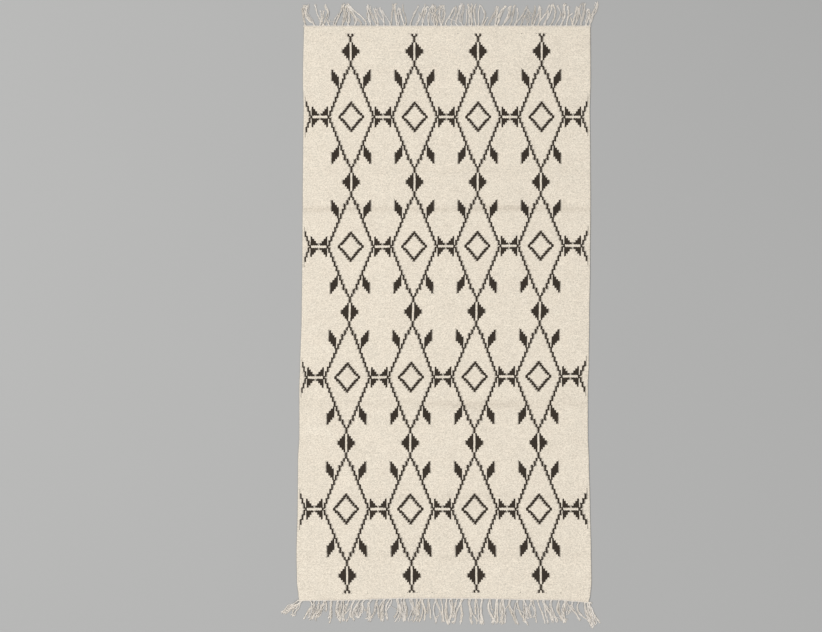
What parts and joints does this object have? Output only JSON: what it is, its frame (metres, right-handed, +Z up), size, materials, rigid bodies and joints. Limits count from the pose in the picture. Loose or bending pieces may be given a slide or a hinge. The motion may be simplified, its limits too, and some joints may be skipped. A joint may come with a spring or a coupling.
{
  "type": "dhurrie rug",
  "caption": "Flat-woven cotton runner rug with a stepped lozenge lattice and knotted fringes along both ends.",
  "frame": {"origin": "centre of the rug's footprint, fringes included, on the floor", "axes": "+Z up out of the face, +Y along the length towards the far fringe, +X across the width"},
  "size_m": [0.764, 1.5244, 0.0044],
  "materials": {
    "woven_cotton": "matt ribbed flat weave, undyed cream cotton with charcoal figures",
    "fringe_cotton": "matt undyed cotton warp yarn, knotted and loose"
  },
  "bodies": {
    "root": {"rug_cloth": "woven_cotton", "fringe_far": "fringe_cotton", "fringe_near": "fringe_cotton"}
  },
  "joints": []
}
